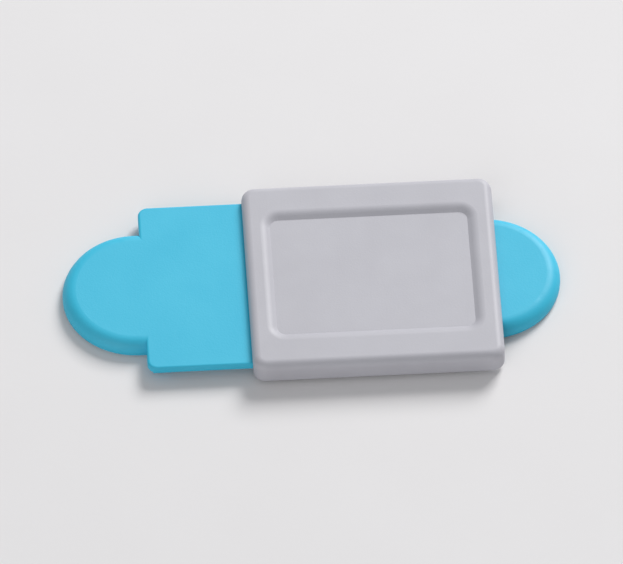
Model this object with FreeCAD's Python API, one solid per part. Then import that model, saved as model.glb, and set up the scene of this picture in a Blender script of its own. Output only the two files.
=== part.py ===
import FreeCAD
import Part
import math
import os

# A thin sliding cover for the camera in a screen's bezel. A body with crowned round ends carries a wider
# deck, flush with the crowns, so that each long side of the deck overhangs as a rail. A slider of
# C section clips round both rails, and stops under the ends of the deck keep it on.
# The lens looks through a window near the +X end, which the slider shuts at rest.
# Millimetres. +X is along the slide, +Z points out of the screen, and the origin is in the middle of
# the face that is bonded to the bezel.

Vector = FreeCAD.Vector
UP = Vector(0, 0, 1)

# Base moulding
FOOT_LENGTH = 22.4
FOOT_WIDTH = 6.6
FOOT_HEIGHT = 0.34
END_EDGE_HEIGHT = 0.18
CROWN_RUN = 0.6
DECK_LENGTH = 15.2
DECK_WIDTH = 9.2
DECK_HEIGHT = 0.32
DECK_CORNER = 0.45
STOP_LENGTH = 0.8
STOP_INSET = 0.25

# Lens window through the base
WINDOW_LENGTH = 3.6
WINDOW_WIDTH = 4.6
WINDOW_CORNER = 0.6
WINDOW_FLARE = 0.1

# Slider moulding
SLIDER_LENGTH = 11.3
SLIDER_OVERHANG = 0.8
SLIDER_CORNER = 0.6
SLIDER_EDGE_ROUND = 0.36
SKIRT_WALL = 0.5
ROOF_HEIGHT = 0.45
LIP_HEIGHT = 0.2
LIP_REACH = 0.45
LIP_LEAD_IN = 0.12

# Finger dish in the slider's face: a flat floor inside a rolled rim
DISH_SIDE_BORDER = 1.9
DISH_END_BORDER = 1.2
DISH_CORNER = 0.4
DISH_DEPTH = 0.2
DISH_SLOPE_RUN = 0.3
DISH_CREST_ROUND = 0.5

# Bonding pad
PAD_HEIGHT = 0.12
PAD_MARGIN = 0.15

# Fits and edges
RUNNING_GAP = 0.05
STOP_GAP = 0.05
EDGE_ROUND = 0.12
SAME_POINT = 1e-6

# Heights above the bezel
FOOT_TOP = PAD_HEIGHT + FOOT_HEIGHT
DECK_TOP = FOOT_TOP + DECK_HEIGHT
END_EDGE_TOP = PAD_HEIGHT + END_EDGE_HEIGHT
ROOF_BOTTOM = DECK_TOP + RUNNING_GAP
ROOF_TOP = ROOF_BOTTOM + ROOF_HEIGHT
LIP_TOP = FOOT_TOP - RUNNING_GAP
LIP_BOTTOM = LIP_TOP - LIP_HEIGHT

# Places along the slide. The slider passes each end of the deck by the same overhang.
END_RADIUS = FOOT_WIDTH / 2
END_MIDDLE = FOOT_LENGTH / 2 - END_RADIUS
CHANNEL_WIDTH = DECK_WIDTH + 2 * RUNNING_GAP
SLIDER_WIDTH = CHANNEL_WIDTH + 2 * SKIRT_WALL
SLIDER_TRAVEL = DECK_LENGTH + 2 * SLIDER_OVERHANG - SLIDER_LENGTH
SLIDER_MIDDLE = SLIDER_TRAVEL / 2
LIP_LENGTH = DECK_LENGTH - 2 * (STOP_INSET + STOP_LENGTH + STOP_GAP) - SLIDER_TRAVEL
OPEN_SLIDER_END = SLIDER_LENGTH / 2 - SLIDER_MIDDLE
WINDOW_MIDDLE = (OPEN_SLIDER_END + DECK_LENGTH / 2) / 2


def rounded_outline(length, width, corner, height, middle=0.0):
    """A closed wire at one height: a rectangle with round corners, or a stadium if they meet."""
    reach_x = length / 2 - corner
    reach_y = width / 2 - corner
    arcs = []
    for quarter, (side_x, side_y) in enumerate([(1, 1), (-1, 1), (-1, -1), (1, -1)]):
        centre = Vector(middle + side_x * reach_x, side_y * reach_y, height)
        start = quarter * math.pi / 2
        arcs.append(Part.Arc(Part.Circle(centre, UP, corner), start, start + math.pi / 2).toShape())
    edges = []
    for arc, following in zip(arcs, arcs[1:] + arcs[:1]):
        edges.append(arc)
        leaves = arc.Vertexes[-1].Point
        arrives = following.Vertexes[0].Point
        if not leaves.isEqual(arrives, SAME_POINT):
            edges.append(Part.makeLine(leaves, arrives))
    return Part.Wire(edges)


def rounded_prism(length, width, corner, bottom, top, middle=0.0):
    outline = rounded_outline(length, width, corner, bottom, middle)
    return Part.Face(outline).extrude(UP * (top - bottom))


def rounded_flare(length, width, corner, bottom, rise, spread, middle=0.0):
    """A solid that widens on every side by spread as it rises."""
    lower = rounded_outline(length, width, corner, bottom, middle)
    upper = rounded_outline(length + 2 * spread, width + 2 * spread, corner + spread, bottom + rise, middle)
    return Part.makeLoft([lower, upper], True, True)


def block(length, width, bottom, top, middle=0.0):
    return Part.makeBox(length, width, top - bottom, Vector(middle - length / 2, -width / 2, bottom))


def soften_top(solid, radius):
    """Rounds the edge that runs round the solid's top face."""
    top_face = max(solid.Faces, key=lambda face: face.CenterOfMass.z)
    return solid.makeFillet(radius, top_face.Edges)


def crowned_section():
    """Half of the body's section: an upright edge, then an arc that levels out at the deck's top."""
    drop = DECK_TOP - END_EDGE_TOP
    half_angle = math.atan2(drop, CROWN_RUN)
    radius = math.hypot(drop, CROWN_RUN) / 2 / math.sin(half_angle)
    half_way_drop = radius * (1 - math.cos(half_angle))
    level_from = END_RADIUS - CROWN_RUN
    level = Vector(level_from, 0, DECK_TOP)
    half_way = Vector(level_from + radius * math.sin(half_angle), 0, DECK_TOP - half_way_drop)
    edge = Vector(END_RADIUS, 0, END_EDGE_TOP)
    crown = Part.Arc(edge, half_way, level).toShape()
    corners = [Vector(0, 0, DECK_TOP), Vector(0, 0, PAD_HEIGHT), Vector(END_RADIUS, 0, PAD_HEIGHT)]
    straight_sides = Part.makePolygon([level] + corners + [edge])
    return Part.Face(Part.Wire([crown] + straight_sides.Edges))


def crowned_body():
    """A bar between two round ends, all of the same crowned section."""
    section = crowned_section()
    button = section.revolve(Vector(0, 0, 0), UP, 360)
    pieces = [button.translated(Vector(side * END_MIDDLE, 0, 0)) for side in (-1, 1)]
    for turn in (90, -90):
        half = section.rotated(Vector(0, 0, 0), UP, turn)
        half.translate(Vector(-END_MIDDLE, 0, 0))
        pieces.append(half.extrude(Vector(2 * END_MIDDLE, 0, 0)))
    return pieces[0].fuse(pieces[1:]).removeSplitter()


def base():
    web = block(DECK_LENGTH, FOOT_WIDTH, PAD_HEIGHT, FOOT_TOP)
    deck = rounded_prism(DECK_LENGTH, DECK_WIDTH, DECK_CORNER, FOOT_TOP, DECK_TOP)
    deck = soften_top(deck, min(EDGE_ROUND, DECK_HEIGHT / 2))
    pieces = [web, deck]
    for side in (-1, 1):
        stop_middle = side * (DECK_LENGTH / 2 - STOP_INSET - STOP_LENGTH / 2)
        pieces.append(block(STOP_LENGTH, DECK_WIDTH - 2 * STOP_INSET, PAD_HEIGHT, FOOT_TOP, stop_middle))
    return crowned_body().fuse(pieces).cut(lens_window()).removeSplitter()


def lens_window():
    flare_bottom = DECK_TOP - WINDOW_FLARE
    shaft = rounded_prism(WINDOW_LENGTH, WINDOW_WIDTH, WINDOW_CORNER, 0, flare_bottom, WINDOW_MIDDLE)
    flare_rise = 2 * WINDOW_FLARE
    mouth = rounded_flare(
        WINDOW_LENGTH, WINDOW_WIDTH, WINDOW_CORNER, flare_bottom, flare_rise, flare_rise, WINDOW_MIDDLE
    )
    return shaft.fuse(mouth)


def finger_dish():
    """Slopes outwards from its floor, on past the slider's face."""
    length = SLIDER_LENGTH - 2 * DISH_END_BORDER
    width = SLIDER_WIDTH - 2 * DISH_SIDE_BORDER
    floor = ROOF_TOP - DISH_DEPTH
    rise = 2 * DISH_DEPTH
    return rounded_flare(length, width, DISH_CORNER, floor, rise, 2 * DISH_SLOPE_RUN, SLIDER_MIDDLE)


def roll_dish_rim(body):
    """Rounds the edge where the finger dish breaks through the slider's face."""
    top_face = max(body.Faces, key=lambda face: face.CenterOfMass.z)
    outer_hash = top_face.OuterWire.hashCode()
    crest = [edge for wire in top_face.Wires if wire.hashCode() != outer_hash for edge in wire.Edges]
    level_width = min(DISH_SIDE_BORDER, DISH_END_BORDER) - DISH_SLOPE_RUN - SLIDER_EDGE_ROUND
    half_slope = math.atan2(DISH_DEPTH, DISH_SLOPE_RUN) / 2
    return body.makeFillet(min(DISH_CREST_ROUND, level_width / 2 / math.tan(half_slope)), crest)


def rail_throat():
    """The gap between the two lips, wider at the mouth so that the slider snaps over the deck."""
    half_width = DECK_WIDTH / 2 - LIP_REACH
    mouth = half_width + LIP_LEAD_IN
    lead_top = LIP_BOTTOM + LIP_LEAD_IN
    start = SLIDER_MIDDLE - SLIDER_LENGTH / 2
    section = [(-mouth, LIP_BOTTOM), (mouth, LIP_BOTTOM), (half_width, lead_top), (half_width, LIP_TOP)]
    section += [(-half_width, LIP_TOP), (-half_width, lead_top), (-mouth, LIP_BOTTOM)]
    outline = Part.makePolygon([Vector(start, y, z) for y, z in section])
    return Part.Face(outline).extrude(Vector(SLIDER_LENGTH, 0, 0))


def slider():
    shell = rounded_prism(SLIDER_LENGTH, SLIDER_WIDTH, SLIDER_CORNER, LIP_BOTTOM, ROOF_TOP, SLIDER_MIDDLE)
    shell = soften_top(shell, min(SLIDER_EDGE_ROUND, SKIRT_WALL, ROOF_HEIGHT))
    channel = block(SLIDER_LENGTH, CHANNEL_WIDTH, LIP_TOP, ROOF_BOTTOM, SLIDER_MIDDLE)
    cuts = [channel, rail_throat(), finger_dish()]
    relief_length = (SLIDER_LENGTH - LIP_LENGTH) / 2
    for side in (-1, 1):
        relief_middle = SLIDER_MIDDLE + side * (SLIDER_LENGTH - relief_length) / 2
        cuts.append(block(relief_length, CHANNEL_WIDTH, LIP_BOTTOM, LIP_TOP, relief_middle))
    return roll_dish_rim(shell.cut(cuts).removeSplitter())


def adhesive_pad():
    length = FOOT_LENGTH - 2 * PAD_MARGIN
    width = FOOT_WIDTH - 2 * PAD_MARGIN
    pad = rounded_prism(length, width, width / 2, 0, PAD_HEIGHT)
    opening = rounded_prism(
        WINDOW_LENGTH + 2 * PAD_MARGIN,
        WINDOW_WIDTH + 2 * PAD_MARGIN,
        WINDOW_CORNER + PAD_MARGIN,
        0,
        PAD_HEIGHT,
        WINDOW_MIDDLE,
    )
    return pad.cut(opening)


os.makedirs("parts", exist_ok=True)
for node in (base, slider, adhesive_pad):
    node().exportStep(f"parts/{node.__name__}.step")
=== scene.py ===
"""Looks of the sliding camera cover.

Two moulded plastics and a milky tape, on a pale floor in soft light, seen from the photo's angle.
"""

import math

import bpy
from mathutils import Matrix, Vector


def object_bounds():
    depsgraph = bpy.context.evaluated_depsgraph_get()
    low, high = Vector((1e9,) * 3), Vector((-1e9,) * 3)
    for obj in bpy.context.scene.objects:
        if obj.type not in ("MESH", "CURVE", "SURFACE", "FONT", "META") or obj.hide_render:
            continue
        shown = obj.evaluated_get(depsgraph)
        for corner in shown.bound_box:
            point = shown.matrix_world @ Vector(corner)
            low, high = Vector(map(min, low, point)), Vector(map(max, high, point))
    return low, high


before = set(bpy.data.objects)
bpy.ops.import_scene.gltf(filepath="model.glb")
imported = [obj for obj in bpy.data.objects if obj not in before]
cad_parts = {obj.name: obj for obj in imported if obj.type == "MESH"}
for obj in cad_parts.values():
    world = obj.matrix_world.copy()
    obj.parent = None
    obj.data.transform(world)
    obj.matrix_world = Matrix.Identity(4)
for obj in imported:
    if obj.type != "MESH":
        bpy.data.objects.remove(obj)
cad_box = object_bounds()

MM = 0.001

# The photo's line of sight, nearly square to the long side and well above the table, and how much of
# the picture's width the cover takes up
VIEW_AZIMUTH = -3.4
VIEW_ELEVATION = 52.0
VIEW_DISTANCE = 0.665
SENSOR_WIDTH = 36.0
COVER_SHARE = 0.80

# Linear colours, each with its palest tone
BLUES = (0.028, 0.498, 0.720), (0.040, 0.524, 0.745)
GREYS = (0.488, 0.481, 0.521), (0.512, 0.506, 0.547)
TAPE_TONES = (0.740, 0.735, 0.690), (0.820, 0.815, 0.780)
FLOOR_TONES = (0.785, 0.768, 0.768), (0.812, 0.798, 0.800)

# Noise: how many finer layers it has, and the span that most of its values lie in
PLAIN = 2.0
FINE = 3.0
FINEST = 4.0
NOISE_MIDDLE = (0.3, 0.7)

# Surface of a spark-eroded mould: cells of its waves, grain, finer grain and gloss, and the depths of
# two of them as shares of the grain's
WAVE_CELL = 1.8 * MM
WAVE_SHARE = 1.5
GRAIN_CELL = 0.09 * MM
FINE_GRAIN_CELL = 0.04 * MM
FINE_GRAIN_SHARE = 0.5
GLOSS_CELL = 0.2 * MM

# Tape
TAPE_CLOUD_CELL = 0.6 * MM
TAPE_GLOSS_CELL = 0.3 * MM
TAPE_ROUGHNESS = (0.5, 0.7)
TAPE_GRAIN_CELL = 0.2 * MM
TAPE_GRAIN_DEPTH = 0.004 * MM

# Floor
FLOOR_REACH = 1.0
FLOOR_CLOUD_CELL = 6 * MM
FLOOR_GRAIN_CELL = 0.3 * MM
FLOOR_GRAIN_DEPTH = 0.002 * MM
FLOOR_ROUGHNESS = 0.75

# Light from all round
SKY = (0.95, 0.97, 1.0)
SKY_STRENGTH = 0.363


class Surface:
    """One material and the nodes that give it its detail, in the object's own coordinates."""

    # A Mix node's sockets for colours, which share their names with those for numbers
    MIX_AMOUNT = 0
    MIX_FIRST = 6
    MIX_SECOND = 7
    MIX_RESULT = 2

    def __init__(self, name):
        self.material = bpy.data.materials.new(name)
        self.material.use_nodes = True
        self.tree = self.material.node_tree
        self.shader = self.tree.nodes["Principled BSDF"]
        self.coordinates = self.tree.nodes.new("ShaderNodeTexCoord")

    def set(self, **values):
        """Puts constants on the shader's own sockets."""
        for socket, value in values.items():
            self.shader.inputs[socket].default_value = value

    def feed(self, socket, value):
        self.tree.links.new(value, self.shader.inputs[socket])

    def noise(self, cell, detail=PLAIN):
        """A value from 0 to 1 that varies over cells of this size, in metres."""
        node = self.tree.nodes.new("ShaderNodeTexNoise")
        node.inputs["Scale"].default_value = 1 / cell
        node.inputs["Detail"].default_value = detail
        self.tree.links.new(self.coordinates.outputs["Object"], node.inputs["Vector"])
        return node.outputs["Fac"]

    def ramp(self, value, low, high, start=0.0, end=1.0):
        """value's span from start to end, clamped and stretched over low to high."""
        node = self.tree.nodes.new("ShaderNodeMapRange")
        node.inputs["From Min"].default_value = start
        node.inputs["From Max"].default_value = end
        node.inputs["To Min"].default_value = low
        node.inputs["To Max"].default_value = high
        self.tree.links.new(value, node.inputs["Value"])
        return node.outputs["Result"]

    def clouds(self, cell, detail):
        """Noise that reaches both 0 and 1."""
        return self.ramp(self.noise(cell, detail), 0.0, 1.0, *NOISE_MIDDLE)

    def blend(self, amount, first, second):
        """A colour from first to second."""
        node = self.tree.nodes.new("ShaderNodeMix")
        node.data_type = "RGBA"
        self.tree.links.new(amount, node.inputs[self.MIX_AMOUNT])
        node.inputs[self.MIX_FIRST].default_value = (*first, 1.0)
        node.inputs[self.MIX_SECOND].default_value = (*second, 1.0)
        return node.outputs[self.MIX_RESULT]

    def relief(self, height, depth, under=None):
        """A bump of this depth, in metres, laid over the relief under it."""
        node = self.tree.nodes.new("ShaderNodeBump")
        node.inputs["Distance"].default_value = depth
        self.tree.links.new(height, node.inputs["Height"])
        if under is not None:
            self.tree.links.new(under, node.inputs["Normal"])
        return node.outputs["Normal"]


def moulded_plastic(name, tones, flow_cell, roughness, ior, grain_depth):
    """Plastic with faint flow marks, an uneven gloss, and a fine grain over waves from shrinking."""
    surface = Surface(name)
    surface.feed("Base Color", surface.blend(surface.clouds(flow_cell, FINE), *tones))
    surface.feed("Roughness", surface.ramp(surface.noise(GLOSS_CELL, FINE), *roughness))
    surface.set(IOR=ior)
    waves = surface.relief(surface.noise(WAVE_CELL), WAVE_SHARE * grain_depth)
    grain = surface.relief(surface.noise(GRAIN_CELL, FINE), grain_depth, waves)
    fine_grain = surface.relief(surface.noise(FINE_GRAIN_CELL), FINE_GRAIN_SHARE * grain_depth, grain)
    surface.feed("Normal", fine_grain)
    return surface.material


def tape():
    """A milky film, slightly cloudy and uneven."""
    surface = Surface("adhesive")
    surface.feed("Base Color", surface.blend(surface.clouds(TAPE_CLOUD_CELL, FINEST), *TAPE_TONES))
    surface.feed("Roughness", surface.ramp(surface.noise(TAPE_GLOSS_CELL), *TAPE_ROUGHNESS))
    surface.feed("Normal", surface.relief(surface.noise(TAPE_GRAIN_CELL, FINE), TAPE_GRAIN_DEPTH))
    return surface.material


def dress(node, material):
    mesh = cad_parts[node].data
    mesh.materials.clear()
    mesh.materials.append(material)


def pale_floor():
    corners = [(x * FLOOR_REACH, y * FLOOR_REACH, 0) for x, y in [(-1, -1), (1, -1), (1, 1), (-1, 1)]]
    mesh = bpy.data.meshes.new("floor")
    mesh.from_pydata(corners, [], [(0, 1, 2, 3)])
    floor = bpy.data.objects.new("floor", mesh)
    bpy.context.scene.collection.objects.link(floor)
    surface = Surface("floor")
    surface.feed("Base Color", surface.blend(surface.noise(FLOOR_CLOUD_CELL, FINE), *FLOOR_TONES))
    surface.feed("Normal", surface.relief(surface.noise(FLOOR_GRAIN_CELL, FINE), FLOOR_GRAIN_DEPTH))
    surface.set(Roughness=FLOOR_ROUGHNESS)
    mesh.materials.append(surface.material)


def softbox(name, place, size, power):
    """A square area light at place, facing the cover, in metres and watts."""
    data = bpy.data.lights.new(name, "AREA")
    data.size = size
    data.energy = power
    lamp = bpy.data.objects.new(name, data)
    lamp.location = place
    lamp.rotation_euler = Vector(place).to_track_quat("Z", "Y").to_euler()
    bpy.context.scene.collection.objects.link(lamp)


def studio():
    softbox("key", place=(0.20, 0.34, 0.28), size=0.20, power=2.2)
    softbox("fill", place=(-0.22, -0.40, 0.24), size=0.40, power=0.66)
    world = bpy.data.worlds.new("studio")
    world.use_nodes = True
    background = world.node_tree.nodes["Background"]
    background.inputs["Color"].default_value = (*SKY, 1.0)
    background.inputs["Strength"].default_value = SKY_STRENGTH
    bpy.context.scene.world = world
    bpy.context.scene.view_settings.view_transform = "Standard"


def photo_camera():
    low, high = cad_box
    centre = (low + high) / 2
    azimuth = math.radians(VIEW_AZIMUTH)
    elevation = math.radians(VIEW_ELEVATION)
    level = math.cos(elevation)
    back = Vector((math.sin(azimuth) * level, -math.cos(azimuth) * level, math.sin(elevation)))
    data = bpy.data.cameras.new("photo")
    data.sensor_width = SENSOR_WIDTH
    data.lens = SENSOR_WIDTH * COVER_SHARE * VIEW_DISTANCE / (high.x - low.x)
    camera = bpy.data.objects.new("photo", data)
    camera.location = centre + back * VIEW_DISTANCE
    camera.rotation_euler = back.to_track_quat("Z", "Y").to_euler()
    bpy.context.scene.collection.objects.link(camera)
    bpy.context.scene.camera = camera


dress(
    "base",
    moulded_plastic(
        "blue_plastic", BLUES, flow_cell=2.4 * MM, roughness=(0.48, 0.57), ior=1.52, grain_depth=0.004 * MM
    ),
)
dress(
    "slider",
    moulded_plastic(
        "grey_plastic", GREYS, flow_cell=2.0 * MM, roughness=(0.47, 0.55), ior=1.50, grain_depth=0.0035 * MM
    ),
)
dress("adhesive_pad", tape())
pale_floor()
studio()
photo_camera()
